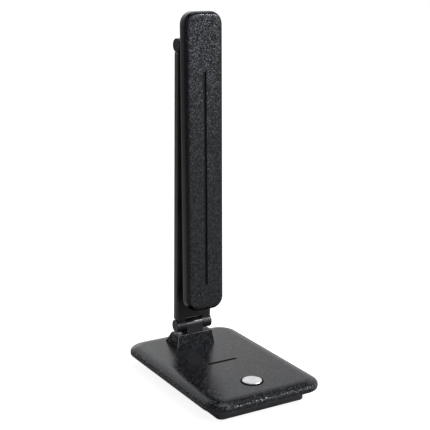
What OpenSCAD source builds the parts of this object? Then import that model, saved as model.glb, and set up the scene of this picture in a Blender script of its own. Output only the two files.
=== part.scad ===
// Folding LED desk lamp with a weighted base, a hinged arm and a hinged head.
// Millimetres, +Z up. The origin is on the table under the middle of the base.
// X runs along both hinge axes and -Y is the front, where the button is.
// The arm stands up and the head hangs closed in front of it.

/* [Base] */
// Width of the base
base_w = 122; // [116:1:150]
// Length of the base, front to back
base_l = 182.4; // [180:0.4:230]
// Corner radius of the base in plan
base_corner_r = 20; // [18:1:28]
// Height of the padded top cover
cover_h = 10.5; // [10.2:0.1:13]
// Width of the crowned border round the cover's top
cover_top_run = 12; // [9:0.5:13]
// Height of the crowned border
cover_top_rise = 5.8; // [4.4:0.1:6.2]
// Radius of the shoulder below the crowned border
cover_top_r = 3.6; // [2.6:0.1:3.8]
// Width of the turned-in border under the cover
cover_low_run = 6.4; // [5:0.1:6.5]
// Height of the turned-in border
cover_low_rise = 3.1; // [2.4:0.1:3.6]
// Radius of the shoulder above the turned-in border
cover_low_r = 1.8; // [1:0.1:2.2]
// Thickness of the cover's flat top
cover_skin = 2.2; // [1.8:0.1:3]
// Width of the cover's solid rim
cover_rim = 7; // [6.6:0.1:8]
// Height of the tray below the cover
tray_h = 10.7; // [10.4:0.1:13]
// How far the tray is set back from the cover's edge
tray_inset = 14; // [12:0.5:15]
// Wall of the tray
tray_wall = 2; // [1.6:0.1:2.4]
// Floor of the tray
tray_floor = 2; // [1.8:0.1:2.4]
// Thickness of the flange that lies inside the cover
flange_t = 2; // [1.5:0.1:2.4]
// Rounding of the tray's lower edge
tray_edge_r = 1.2; // [0.5:0.1:2]
// Radius of each rubber foot
foot_r = 6; // [4:0.5:7]
// How far the feet stand below the tray
foot_stand = 1; // [0.6:0.1:2]
// Depth of the pocket that holds a foot
foot_pocket = 1; // [0.5:0.1:1.2]
// Length of the engraved line across the top
line_l = 32.4; // [20:1:50]
// Width of the engraved line
line_w = 2.4; // [1:0.1:3]
// Depth of the engraved line
line_depth = 1; // [0.3:0.1:1.2]
// Place of the engraved line behind the middle of the base
line_y = -2.5; // [-10:0.5:10]

/* [Inside the base] */
// Gap between the steel counterweight and the tray's sides
weight_side_gap = 3; // [2:0.5:15]
// Room for the inlet's lead between the counterweight and the rear case bosses
weight_rear_gap = 14.8; // [10.8:0.4:38.8]
// Thickness of the steel counterweight
weight_t = 10; // [4:0.5:10.5]
// Radius of the two screws that hold the counterweight
weight_screw_r = 2; // [1.5:0.1:2.5]
// Width of the main board
board_w = 60; // [50:1:64]
// Length of the main board
board_l = 32; // [30:1:34]
// Thickness of the boards
board_t = 1.6; // [1:0.1:1.8]
// Height of the main board above the tray's floor
board_rise = 9.1; // [7.6:0.1:9.4]
// Radius of the case screws
case_screw_r = 1.5; // [1.2:0.1:1.8]
// Radius of the board screws
board_screw_r = 1.1; // [0.9:0.1:1.3]

/* [Power inlet] */
// Width of the inlet's opening
inlet_w = 8.94; // [8:0.02:10]
// Height of the inlet's opening
inlet_h = 3.26; // [3:0.02:3.6]
// Depth of the inlet's shell
inlet_l = 10; // [9:0.1:12]
// Wall of the inlet's shell
inlet_wall = 0.3; // [0.25:0.05:0.4]

/* [Button] */
// Distance of the button's centre from the front edge
button_setback = 33.6; // [32.6:0.2:36]
// Radius of the button's disc
button_r = 9.3; // [8:0.1:10]
// How far the disc stands above the cover
button_rise = 1.2; // [0.8:0.1:2]
// Thickness of the disc
button_disc_t = 1.8; // [1.2:0.1:2.4]
// Travel of the button
button_travel = 0.5; // [0.3:0.1:0.6]
// Width of the ring around the disc
ring_w = 1.5; // [1:0.1:2.5]
// How far the ring stands above the cover
ring_rise = 0.3; // [0.1:0.1:0.6]
// Radial play of the disc in its ring
button_play = 0.08; // [0.05:0.01:0.1]

/* [Pedestal] */
// Width of the pedestal at its foot
pedestal_foot_w = 43.1; // [42:0.1:48]
// Width of the pedestal at its top
pedestal_top_w = 39; // [36:0.5:41]
// Height of the pedestal
pedestal_h = 12.6; // [11:0.1:13]
// How far the foot reaches in front of the hinge axis
pedestal_front = 8.8; // [8.5:0.1:11]
// How far the foot reaches behind the hinge axis
pedestal_back = 17.8; // [16.5:0.1:20]
// How far the top reaches in front of the hinge axis
pedestal_top_front = 7.2; // [7.1:0.1:8]
// How far the top reaches behind the hinge axis
pedestal_top_back = 8.2; // [7.8:0.1:10]
// Wall of the pedestal's cover
pedestal_wall = 1.6; // [1.2:0.1:2]

/* [Hinges] */
// Distance of the lower hinge axis from the rear edge
hinge_setback = 34.5; // [33:0.1:40]
// Height of the lower hinge axis above the base
hinge_rise = 21.2; // [21:0.1:26]
// Radius of the outer knuckles and end caps
knuckle_r = 6.5; // [6:0.1:7]
// Radius of the middle knuckles
middle_r = 6.3; // [5.5:0.1:6.5]
// Width of the middle knuckles
middle_w = 18.4; // [16:0.2:20]
// Width of each outer knuckle
knuckle_w = 8.6; // [7.6:0.1:9]
// Thickness of each washer
washer_t = 0.5; // [0.3:0.1:0.8]
// Thickness of each end cap
cap_t = 1.3; // [1:0.1:2]
// Radius of the hinge shafts
shaft_r = 3; // [2.5:0.1:3.5]
// Radial play of a turning fit
running_play = 0.05; // [0.03:0.01:0.08]
// Play along the axis between hinge pieces
side_play = 0.05; // [0.03:0.01:0.1]
// Gap between the arm's ends and the knuckles
hinge_gap = 0.3; // [0.2:0.05:0.5]
// Depth of the grooves round the outer knuckles
ring_groove_depth = 0.35; // [0.1:0.05:0.5]
// Width of the grooves round the outer knuckles
ring_groove_w = 0.6; // [0.3:0.1:0.8]

/* [Arm] */
// Distance between the two hinge axes
arm_len = 281.4; // [279:0.2:320]
// Width of the arm
arm_w = 39.2; // [37.6:0.2:42]
// Thickness of the arm
arm_t = 7; // [6.6:0.1:8]
// Forward lean of the standing arm, in degrees
arm_lean = 1.5; // [0:0.1:4]
// Corner radius of the arm's ends
arm_corner_r = 3; // [1.5:0.1:5]
// Rounding along the arm's long edges
arm_edge_r = 1; // [0.5:0.1:1.4]
// How far the arm's ends stay from the hinge axes
arm_end = 5.6; // [4:0.1:7]
// How far the fork's slot reaches from the hinge axis
slot_reach = 8; // [7.6:0.1:9]
// Back wall of the arm
arm_back = 1.6; // [1.2:0.1:1.8]
// Side wall of the arm
arm_side = 3.4; // [3.2:0.1:3.6]
// Thickness of the arm's front panel
panel_t = 1.3; // [1:0.1:1.5]
// Width of the ledge that the front panel lies on
panel_ledge = 1; // [0.6:0.1:1.4]
// Gap round the front panel
panel_gap = 0.2; // [0.1:0.05:0.3]
// Width of the stiffening bar
bar_w = 14; // [8:0.5:16]
// Thickness of the stiffening bar
bar_t = 2.4; // [1:0.1:2.6]
// Radius of the lead inside the lamp
lead_r = 1.1; // [0.8:0.1:1.2]
// Length of the fork's tongue inside the arm
tongue_l = 26; // [24:1:40]
// Radius of the fork's and the lug's screws
fork_screw_r = 1.25; // [1:0.05:1.4]

/* [Head] */
// Width of the head
head_w = 40.6; // [39.6:0.2:46]
// Reach of the head above the upper hinge axis
head_up = 31.4; // [30:0.2:40]
// Reach of the head below the upper hinge axis
head_down = 259.2; // [240:0.2:259.6]
// Thickness of the head
head_t = 12; // [11.6:0.1:13]
// Depth of the smooth frame on the lit side
frame_depth = 3.6; // [3:0.1:4]
// Corner radius of the head
head_corner_r = 12; // [11:0.5:14]
// Rounding of the head's front edge
head_edge_r = 4.4; // [2:0.1:5]
// Rounding of the frame's inner edge
frame_edge_r = 1.2; // [0.5:0.1:1.6]
// Distance of the head's inner face from the hinge axis
head_offset = 8.2; // [8:0.1:10]
// Angle of the hanging head to the arm, in degrees
head_ajar = 2; // [0:0.1:5]
// Wall of the head's cover
head_skin = 1.8; // [1.4:0.1:2]
// Width of the groove down the head's front
groove_w = 2.6; // [1:0.1:3]
// Depth of the groove down the head's front
groove_depth = 1.1; // [0.3:0.1:1.2]
// Distance of the groove's upper end below the hinge axis
groove_top = 24; // [20:1:60]
// Distance of the groove's lower end above the head's lower end
groove_low = 27; // [15:1:60]
// Width of the lit window
window_w = 28; // [20:0.5:28.5]
// Distance of the window's upper end below the hinge axis
window_top = 24; // [20:0.5:40]
// Distance of the window's lower end above the head's lower end
window_low = 17; // [17:0.5:40]
// Thickness of the opal diffuser
diffuser_t = 2; // [1.6:0.1:2.2]
// Thickness of the LED board
led_board_t = 1.2; // [1:0.1:1.6]
// Number of LEDs in each row
led_count = 20; // [8:1:24]
// Distance between the two rows of LEDs
led_row_gap = 14; // [8:1:18]
// Side of one LED
led_side = 2.8; // [2:0.1:3.5]
// Thickness of one LED
led_t = 0.7; // [0.5:0.1:0.9]

/* [Hidden] */
$fn = 64;

// Colours
leather_colour = "#26272b";
plastic_colour = "#2f3034";
metal_colour = "#6a6c72";
steel_colour = "#a3a6ab";
silver_colour = "#d4d5d8";
rubber_colour = "#1b1b1d";
board_colour = "#1f5a3a";
opal_colour = "#f3f1ea";

// A small overshoot that lets a cut pass through a face
over = 1;
// Gap between pieces that only lie beside each other
loose = 0.2;
// Gap between a screw or a pressed-in piece and its hole
seat_play = 0.05;
// Free depth under the end of a screw
blind_end = 0.2;
// Bevel of screw heads, feet, the button and the end caps
bevel = 0.4;
// Room round a lead
lead_gap = 0.5;
// Cross recess in the screw heads
cross_w = 0.5;
cross_depth = 0.6;

// Section corners of the cover
cover_crown = [cover_top_run, cover_top_rise, cover_top_r];
cover_turn_in = [cover_low_run, cover_low_rise, cover_low_r];

// Heights in the base
tray_z = foot_stand;
floor_z = tray_z + tray_floor;
cover_z = tray_z + tray_h;
top_z = cover_z + cover_h;
ceiling_z = top_z - cover_skin;
board_z = floor_z + board_rise;
board_top = board_z + board_t;
inlet_z = top_z - cover_top_rise;

// Case screws stand in bosses near the corners
case_boss_r = 4.2;
case_boss_inset = 6;
case_boss_from_end = 20.2;
case_head_rim = 1.2;
case_seat_rise = 1.2;
case_split_rise = 3.4;
case_tip_gap = 1.5;
case_x = base_w / 2 - tray_inset - tray_wall - case_boss_inset;
case_y = base_l / 2 - tray_inset - tray_wall - case_boss_from_end;
case_head_r = case_screw_r + case_head_rim;
case_head_h = 2;
case_seat_z = floor_z + case_seat_rise;
case_split_z = floor_z + case_split_rise;
case_tip_z = ceiling_z - case_tip_gap;
case_hole_top = case_tip_z + blind_end;

// Feet stand nearer to the corners than the case screws
foot_inset = 10;
foot_from_end = 9;
foot_x = base_w / 2 - tray_inset - foot_inset;
foot_y = base_l / 2 - tray_inset - foot_from_end;

// Button, seen from its centre
button_y = -base_l / 2 + button_setback;
ring_r = button_r + button_play + ring_w;
ring_flange_w = 2;
ring_flange_r = ring_r + ring_flange_w;
ring_flange_t = 1.2;
ring_low = ceiling_z - ring_flange_t;
button_top = top_z + button_rise;
cap_flange_r = button_r + button_play + ring_w / 2;
cap_flange_t = 0.9;
cap_flange_gap = 0.3;
cap_flange_z = ring_low - cap_flange_gap - cap_flange_t;
cap_wall = 1.2;
switch_w = 6.2;
switch_h = 3.5;
plunger_r = 1.75;
plunger_l = 3.1;
plunger_rise = 0.8;
plunger_top = board_top + switch_h + plunger_rise;
stem_r = 2;

// Boards and what is on them
small_head_r = 2;
small_head_h = 1.3;
board_hole_inset = 4;
board_post_r = 2.4;
board_screw_bite = 4;
board_corner_r = 1.5;
board_hole_x = board_w / 2 - board_hole_inset;
board_hole_y = board_l / 2 - board_hole_inset;
plug_w = 8;
plug_l = 4;
plug_h = 3.2;
chip_w = 6;
chip_h = 1.2;
choke_r = 3.4;
choke_h = 3;
can_r = 2.4;
can_h = 4;
can_gap = 1.9;
can_inset = 4.8;

// Power board at the rear edge
power_board_w = 26;
power_board_l = 20;
power_hole_inset = 3;
inlet_recess = 0.8;
inlet_back = 1.2;
inlet_tongue_w = 5.96;
inlet_tongue_t = 0.7;
inlet_front = base_l / 2 - inlet_recess;
inlet_board_z = inlet_z - inlet_h / 2 - board_t;
power_y = base_l / 2 - cover_rim - loose - power_board_l / 2;
power_hole_x = power_board_w / 2 - power_hole_inset;
power_hole_y = power_y - power_board_l / 2 + power_hole_inset;

// Counterweight between the main board and the rear case bosses
weight_gap = 3.6;
weight_corner_r = 3;
weight_hole_inset = 7;
weight_front = button_y + board_l / 2 + weight_gap;
weight_back = case_y - case_boss_r - weight_rear_gap;
weight_w = base_w - 2 * (tray_inset + tray_wall + weight_side_gap);
weight_l = weight_back - weight_front;
weight_y = (weight_front + weight_back) / 2;
weight_screw_x = weight_w / 2 - weight_hole_inset;
weight_head_rim = 1.8;
weight_head_r = weight_screw_r + weight_head_rim;
weight_head_h = 1.6;
weight_tip_rise = 0.8;
weight_tip_z = tray_z + weight_tip_rise;
weight_screw_l = floor_z + weight_t - weight_tip_z;

// Lower hinge
hinge_y = base_l / 2 - hinge_setback;
hinge_z = top_z + hinge_rise;
washer_x = middle_w / 2 + side_play;
knuckle_x = washer_x + washer_t + side_play;
cap_x = knuckle_x + knuckle_w;
washer_inset = 0.3;
washer_r = middle_r - washer_inset;
block_side_gap = 2.45;
block_front_gap = 1.4;
block_back_gap = 4.8;
block_tip_gap = 0.5;
block_foot_t = 4.5;
block_foot_w = pedestal_foot_w - 2 * (pedestal_wall + block_side_gap);
block_foot_front = pedestal_front - pedestal_wall - block_front_gap;
block_foot_back = pedestal_back - pedestal_wall - block_back_gap;
block_hole_inset = 3.6;
block_screw_x = block_foot_w / 2 - block_hole_inset;
block_screw_y = [block_hole_inset - block_foot_front, block_foot_back - block_hole_inset];
block_screw_l = cover_skin + block_foot_t - block_tip_gap;
lead_hole_r = lead_r + lead_gap;

// Arm, seen from the lower hinge axis
arm_low = arm_end;
arm_high = arm_len - arm_end;
channel_w = arm_w - 2 * arm_side;
channel_back = arm_t / 2 - arm_back;
channel_front = panel_t - arm_t / 2;
panel_w = channel_w + 2 * panel_ledge;
slot_w = 2 * knuckle_x - side_play;
scoop_r = knuckle_r + hinge_gap;
tongue_t = channel_back - channel_front - 2 * side_play;
tongue_y = (channel_back + channel_front) / 2;
tongue_w = channel_w - 2 * loose;
tongue_gap = 0.6;
tongue_start = slot_reach + tongue_gap;
tongue_end = tongue_start + tongue_l;
neck_step = 0.7;
neck_x = knuckle_x + neck_step;
ring_groove_count = 3;
fork_hole_inset = 5;
fork_hole_shift = 2;
fork_screw_x = tongue_w / 2 - fork_hole_inset;
fork_screw_z = [tongue_start + fork_hole_inset + fork_hole_shift, tongue_end - fork_hole_inset];
fork_head_rim = 0.85;
fork_head_r = fork_screw_r + fork_head_rim;
fork_head_h = 1;
fork_head_sink = 0.1;
fork_screw_seat = tongue_y - tongue_t / 2 + fork_head_h + fork_head_sink;
fork_tip_gap = 0.6;
fork_screw_tip = arm_t / 2 - fork_tip_gap;
bar_gap = 3;
bar_start = tongue_end + bar_gap;
lead_from_bar = 1;
lead_x = bar_w / 2 + lead_r + lead_from_bar;

// Head, drawn flat: X across, Y up the head, Z from the inner face to the front
head_l = head_up + head_down;
head_mid = (head_up - head_down) / 2;
head_cover_t = head_t - frame_depth;
cover_in_w = head_w - 2 * head_skin;
cover_in_l = head_l - 2 * head_skin;
cover_in_r = head_corner_r - head_skin;
lip_gap = 0.15;
lip_t = 1.2;
lip_rise = 1.9;
window_l = head_down - window_top - window_low;
window_mid = -window_top - window_l / 2;
window_r = 4;
frame_floor = 2;
ledge_w = 1.3;
ledge_t = 1;
diffuser_play = 0.15;
diffuser_z = 0.2;
led_seat = 5;
led_rib_w = 1.2;
led_board_w = window_w + 2 * ledge_w + 2 * led_rib_w;
led_board_end = 1;
led_board_l = window_l + 2 * led_board_end;
led_end = 6;
lug_foot_w = 25;
lug_foot_l = 26;
lug_foot_t = 2.4;
lug_neck = 9;
lug_hole_inset = 3.4;
lug_screw_x = lug_foot_w / 2 - lug_hole_inset;
lug_screw_y = lug_foot_l / 2 - lug_hole_inset;
lug_screw_tip = 0.6;
lug_screw_l = frame_floor + lug_foot_t - lug_screw_tip;
head_hole_inset = 8;
head_hole_from_end = 8.5;
head_screw_x = head_w / 2 - head_hole_inset;
head_screw_y = [head_up - head_hole_from_end, head_hole_from_end - head_down];
head_boss_r = 2.5;
head_screw_seat = 1.1;
head_screw_l = 6;

// ---------- shared shapes ----------

// A quarter of a disc
module quadrant(r) {
    intersection() {
        circle(r);
        square(r);
    }
}

// A quarter of an oval: a wide crown that runs smoothly into a shoulder of radius r.
// The two arcs touch where a line through both centres meets them
module oval_corner(run, rise, r) {
    crown_r = (pow(run - r, 2) + rise * rise - r * r) / (2 * (rise - r));
    turn = atan2(crown_r - rise, run - r);
    join_x = run - r + r * cos(turn);
    intersection() {
        translate([0, rise - crown_r])
            circle(crown_r, $fn = 4 * $fn);
        square([join_x, rise]);
    }
    intersection() {
        translate([run - r, 0])
            circle(r);
        translate([join_x, 0])
            square([run, rise]);
    }
}

// A rounded corner of a section: [radius], or [run, rise, shoulder radius] for an oval one
module section_corner(form) {
    if (len(form) > 1)
        oval_corner(form[0], form[1], form[2]);
    else
        quadrant(form[0]);
}

// Section through the edge of a rounded slab, outward from the corner's centre.
// top and low are section corners, or [] for a square edge
module edge_profile(r, h, top, low) {
    top_run = len(top) > 0 ? top[0] : 0;
    low_run = len(low) > 0 ? low[0] : 0;
    top_rise = len(top) > 1 ? top[1] : top_run;
    low_rise = len(low) > 1 ? low[1] : low_run;
    translate([0, low_rise])
        square([r, h - top_rise - low_rise]);
    if (top_run > 0) {
        translate([0, h - top_rise])
            square([r - top_run, top_rise]);
        translate([r - top_run, h - top_rise])
            section_corner(top);
    }
    if (low_run > 0) {
        square([r - low_run, low_rise]);
        translate([r - low_run, low_rise])
            mirror([0, 1])
                section_corner(low);
    }
}

// A slab with round corners in plan and rounded upper and lower edges
module rounded_slab(w, l, r, h, top, low) {
    side_w = w - 2 * r;
    side_l = l - 2 * r;
    translate([-side_w / 2, -side_l / 2, 0])
        cube([side_w, side_l, h]);
    for (end = [0, 1])
        rotate([0, 0, end * 180]) {
            translate([side_w / 2, side_l / 2, 0])
                rotate([90, 0, 0])
                    linear_extrude(side_l)
                        edge_profile(r, h, top, low);
            translate([-side_w / 2, side_l / 2, 0])
                rotate([0, 0, 90])
                    rotate([90, 0, 0])
                        linear_extrude(side_w)
                            edge_profile(r, h, top, low);
            translate([side_w / 2, side_l / 2, 0])
                rotate_extrude(angle = 90)
                    edge_profile(r, h, top, low);
            translate([-side_w / 2, side_l / 2, 0])
                rotate([0, 0, 90])
                    rotate_extrude(angle = 90)
                        edge_profile(r, h, top, low);
        }
}

// A rectangle with round corners
module rounded_rect(w, l, r) {
    square([w - 2 * r, l], center = true);
    square([w, l - 2 * r], center = true);
    for (x = [-1, 1], y = [-1, 1])
        translate([x * (w / 2 - r), y * (l / 2 - r)])
            circle(r);
}

// A slot with round ends along X
module stadium(l, w) {
    square([l - w, w], center = true);
    for (x = [-1, 1])
        translate([x * (l - w) / 2, 0])
            circle(w / 2);
}

// A cylinder along X from x0 to x1
module x_cylinder(r, x0, x1) {
    translate([x0, 0, 0])
        rotate([0, 90, 0])
            cylinder(r = r, h = x1 - x0);
}

// A cross-recessed screw whose head seats at z = 0 and whose shank points up
module screw(r, shank, head_r, head_h) {
    cross_l = 2 * (head_r - bevel) - cross_w;
    cylinder(r = r, h = shank);
    difference() {
        union() {
            translate([0, 0, -head_h])
                cylinder(r1 = head_r - bevel, r2 = head_r, h = bevel);
            translate([0, 0, bevel - head_h])
                cylinder(r = head_r, h = head_h - bevel);
        }
        for (turn = [0, 90])
            rotate([0, 0, turn])
                translate([-cross_l / 2, -cross_w / 2, -head_h - over])
                    cube([cross_l, cross_w, cross_depth + over]);
    }
}

// The same children on the left and on the right
module both_sides() {
    for (side = [0, 1])
        mirror([side, 0, 0])
            children();
}

// The same children at the four corners of a rectangle
module four_corners(x, y) {
    for (sx = [-1, 1], sy = [-1, 1])
        translate([sx * x, sy * y, 0])
            children();
}

// From the lower hinge axis to the base
module on_base() {
    translate([0, hinge_y, hinge_z])
        children();
}

// The arm's own frame: its lower hinge axis is the origin and +Z runs up the arm
module on_arm() {
    on_base()
        rotate([arm_lean, 0, 0])
            children();
}

// The arm's frame turned end for end, with the upper hinge axis at its origin
module on_arm_top() {
    on_arm()
        translate([0, 0, arm_len])
            mirror([0, 0, 1])
                children();
}

// The head's own frame: the upper hinge axis is the origin and +Z runs up the head
module on_head_axis() {
    on_arm()
        translate([0, 0, arm_len])
            rotate([-head_ajar, 0, 0])
                children();
}

// The head drawn flat, with Z from its inner face to its front
module on_head() {
    on_head_axis()
        translate([0, -head_offset, 0])
            rotate([90, 0, 0])
                children();
}

// ---------- base ----------

module base_cover() {
    color(leather_colour)
        difference() {
            union() {
                difference() {
                    translate([0, 0, cover_z])
                        rounded_slab(base_w, base_l, base_corner_r, cover_h, cover_crown, cover_turn_in);
                    translate([0, 0, cover_z - over])
                        linear_extrude(ceiling_z - cover_z + over)
                            rounded_rect(base_w - 2 * cover_rim, base_l - 2 * cover_rim,
                                base_corner_r - cover_rim);
                }
                four_corners(case_x, case_y)
                    translate([0, 0, case_split_z])
                        cylinder(r = case_boss_r - loose, h = ceiling_z + over / 2 - case_split_z);
            }
            // Engraved line
            translate([0, line_y, top_z - line_depth])
                linear_extrude(line_depth + over)
                    stadium(line_l, line_w);
            // Seat of the button's ring
            translate([0, button_y, ceiling_z - over])
                cylinder(r = ring_r + seat_play, h = cover_skin + 2 * over);
            // Holes under the hinge block for the lead and the screws
            translate([0, hinge_y, ceiling_z - over])
                cylinder(r = lead_hole_r, h = cover_skin + 2 * over);
            for (y = block_screw_y)
                both_sides()
                    translate([block_screw_x, hinge_y + y, ceiling_z - over])
                        cylinder(r = case_screw_r + loose, h = cover_skin + 2 * over);
            four_corners(case_x, case_y)
                translate([0, 0, case_split_z - over])
                    cylinder(r = case_screw_r + seat_play, h = case_hole_top - case_split_z + over);
            // Way in to the power inlet
            translate([0, base_l / 2 + over, inlet_z])
                rotate([90, 0, 0])
                    linear_extrude(cover_rim + 2 * over)
                        stadium(inlet_w + 2 * loose, inlet_h + 2 * loose);
        }
}

module base_tray() {
    pan_w = base_w - 2 * tray_inset;
    pan_l = base_l - 2 * tray_inset;
    pan_r = base_corner_r - tray_inset;
    flange_inset = cover_rim + loose;
    notch_w = power_board_w + 2 * loose;
    color(plastic_colour)
        difference() {
            union() {
                difference() {
                    union() {
                        translate([0, 0, tray_z])
                            rounded_slab(pan_w, pan_l, pan_r, tray_h, [], [tray_edge_r]);
                        translate([0, 0, cover_z])
                            linear_extrude(flange_t)
                                rounded_rect(
                                    base_w - 2 * flange_inset,
                                    base_l - 2 * flange_inset,
                                    base_corner_r - flange_inset
                                );
                    }
                    translate([0, 0, floor_z])
                        linear_extrude(tray_h + flange_t)
                            rounded_rect(pan_w - 2 * tray_wall, pan_l - 2 * tray_wall, pan_r - tray_wall);
                }
                four_corners(case_x, case_y)
                    translate([0, 0, floor_z])
                        cylinder(r = case_boss_r, h = case_split_z - floor_z);
                translate([0, button_y, floor_z])
                    four_corners(board_hole_x, board_hole_y)
                        cylinder(r = board_post_r, h = board_rise);
                both_sides()
                    translate([power_hole_x, power_hole_y, floor_z])
                        cylinder(r = board_post_r, h = inlet_board_z - floor_z);
            }
            four_corners(case_x, case_y)
                translate([0, 0, tray_z - over]) {
                    cylinder(r = case_head_r + loose, h = case_seat_z - tray_z + over);
                    cylinder(r = case_screw_r + loose, h = case_split_z - tray_z + 2 * over);
                }
            four_corners(foot_x, foot_y)
                translate([0, 0, tray_z - over])
                    cylinder(r = foot_r + seat_play, h = foot_pocket + over);
            translate([0, button_y, board_z - board_screw_bite - blind_end])
                four_corners(board_hole_x, board_hole_y)
                    cylinder(r = board_screw_r + seat_play, h = board_screw_bite + blind_end + over);
            both_sides()
                translate([power_hole_x, power_hole_y, inlet_board_z - board_screw_bite - blind_end])
                    cylinder(r = board_screw_r + seat_play, h = board_screw_bite + blind_end + over);
            both_sides()
                translate([weight_screw_x, weight_y, weight_tip_z - blind_end])
                    cylinder(r = weight_screw_r + seat_play, h = tray_floor + over);
            // Notch in the flange under the power board
            translate([-notch_w / 2, power_y, inlet_board_z - loose])
                cube([notch_w, power_board_l, flange_t + over]);
        }
}

module rubber_feet() {
    color(rubber_colour)
        four_corners(foot_x, foot_y) {
            cylinder(r1 = foot_r - bevel, r2 = foot_r, h = bevel);
            translate([0, 0, bevel])
                cylinder(r = foot_r, h = foot_stand + foot_pocket - bevel);
        }
}

module case_screws() {
    color(steel_colour)
        four_corners(case_x, case_y)
            translate([0, 0, case_seat_z])
                screw(case_screw_r, case_tip_z - case_seat_z, case_head_r, case_head_h);
}

module counterweight() {
    color(steel_colour)
        difference() {
            translate([0, weight_y, floor_z])
                linear_extrude(weight_t)
                    rounded_rect(weight_w, weight_l, weight_corner_r);
            both_sides()
                translate([weight_screw_x, weight_y, floor_z - over])
                    cylinder(r = weight_screw_r + loose, h = weight_t + 2 * over);
        }
}

module weight_screws() {
    color(steel_colour)
        both_sides()
            translate([weight_screw_x, weight_y, floor_z + weight_t])
                mirror([0, 0, 1])
                    screw(weight_screw_r, weight_screw_l, weight_head_r, weight_head_h);
}

module main_board() {
    color(board_colour)
        translate([0, button_y, board_z])
            difference() {
                linear_extrude(board_t)
                    rounded_rect(board_w, board_l, board_corner_r);
                four_corners(board_hole_x, board_hole_y)
                    translate([0, 0, -over])
                        cylinder(r = board_screw_r + loose, h = board_t + 2 * over);
            }
}

module board_components() {
    color(rubber_colour) {
        translate([0, button_y, board_top]) {
            // Driver chip
            translate([board_w / 4, -chip_w / 2, 0])
                cube([chip_w, chip_w, chip_h]);
            // Choke
            translate([-board_w / 3, 0, 0])
                cylinder(r = choke_r, h = choke_h);
            // Reservoir capacitors
            for (y = [-1, 1])
                translate([board_w / 2 - can_inset, y * (can_r + can_gap / 2), 0])
                    cylinder(r = can_r, h = can_h);
            // Lead connector
            translate([-plug_w / 2, board_l / 2 - plug_l, 0])
                cube([plug_w, plug_l, plug_h]);
        }
        translate([-plug_w / 2, power_y - power_board_l / 2, inlet_board_z + board_t])
            cube([plug_w, plug_l, plug_h]);
    }
}

module board_screws() {
    color(steel_colour) {
        translate([0, button_y, board_top])
            four_corners(board_hole_x, board_hole_y)
                mirror([0, 0, 1])
                    screw(board_screw_r, board_t + board_screw_bite, small_head_r, small_head_h);
        both_sides()
            translate([power_hole_x, power_hole_y, inlet_board_z + board_t])
                mirror([0, 0, 1])
                    screw(board_screw_r, board_t + board_screw_bite, small_head_r, small_head_h);
    }
}

module push_switch() {
    color(rubber_colour)
        translate([0, button_y, board_top])
            difference() {
                translate([-switch_w / 2, -switch_w / 2, 0])
                    cube([switch_w, switch_w, switch_h]);
                translate([0, 0, switch_h + plunger_rise - plunger_l - button_travel - blind_end])
                    cylinder(r = plunger_r + running_play, h = switch_h);
            }
}

module power_board() {
    color(board_colour)
        difference() {
            translate([0, power_y, inlet_board_z])
                linear_extrude(board_t)
                    rounded_rect(power_board_w, power_board_l, board_corner_r);
            both_sides()
                translate([power_hole_x, power_hole_y, inlet_board_z - over])
                    cylinder(r = board_screw_r + loose, h = board_t + 2 * over);
        }
}

module power_inlet() {
    mouth_l = inlet_l - inlet_back;
    color(steel_colour)
        translate([0, inlet_front, inlet_z])
            rotate([90, 0, 0]) {
                difference() {
                    linear_extrude(inlet_l)
                        stadium(inlet_w, inlet_h);
                    translate([0, 0, -over])
                        linear_extrude(mouth_l + over)
                            stadium(inlet_w - 2 * inlet_wall, inlet_h - 2 * inlet_wall);
                }
                // Contact tongue
                translate([-inlet_tongue_w / 2, -inlet_tongue_t / 2, over])
                    cube([inlet_tongue_w, inlet_tongue_t, mouth_l - over / 2]);
            }
}

module base_lead() {
    lead_z = board_top + plug_h / 2;
    front_y = button_y + board_l / 2;
    rear_y = power_y - power_board_l / 2;
    color(rubber_colour)
        translate([0, 0, lead_z]) {
            // From the main board to the hinge
            translate([0, front_y, 0])
                rotate([-90, 0, 0])
                    cylinder(r = lead_r, h = hinge_y - front_y);
            translate([0, hinge_y, 0])
                sphere(r = lead_r);
            translate([0, hinge_y, 0])
                cylinder(r = lead_r, h = hinge_z - 2 * shaft_r - lead_z);
            // From the power board to the main board
            translate([plug_w / 2 - lead_r - loose, front_y, 0])
                rotate([-90, 0, 0])
                    cylinder(r = lead_r, h = rear_y - front_y);
        }
}

// ---------- button ----------

module button_ring() {
    color(rubber_colour)
        translate([0, button_y, 0])
            difference() {
                union() {
                    translate([0, 0, ring_low])
                        cylinder(r = ring_flange_r, h = ring_flange_t);
                    translate([0, 0, ring_low])
                        cylinder(r = ring_r, h = top_z + ring_rise - ring_low);
                }
                translate([0, 0, ring_low - over])
                    cylinder(r = button_r + button_play, h = top_z - ring_low + 3 * over);
            }
}

module button_cap() {
    disc_low = button_top - button_disc_t;
    color(silver_colour)
        translate([0, button_y, 0]) {
            difference() {
                union() {
                    translate([0, 0, cap_flange_z])
                        cylinder(r = cap_flange_r, h = cap_flange_t);
                    translate([0, 0, cap_flange_z])
                        cylinder(r = button_r, h = button_top - bevel - cap_flange_z);
                    translate([0, 0, button_top - bevel])
                        cylinder(r1 = button_r, r2 = button_r - bevel, h = bevel);
                }
                translate([0, 0, cap_flange_z - over])
                    cylinder(r = button_r - cap_wall, h = disc_low - cap_flange_z + over);
            }
            // Stem that rests on the switch's plunger
            translate([0, 0, plunger_top])
                cylinder(r = stem_r, h = disc_low + button_disc_t / 2 - plunger_top);
        }
}

module switch_plunger() {
    color(steel_colour)
        translate([0, button_y, plunger_top - plunger_l])
            cylinder(r = plunger_r, h = plunger_l);
}

// ---------- pedestal and lower hinge ----------

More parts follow.
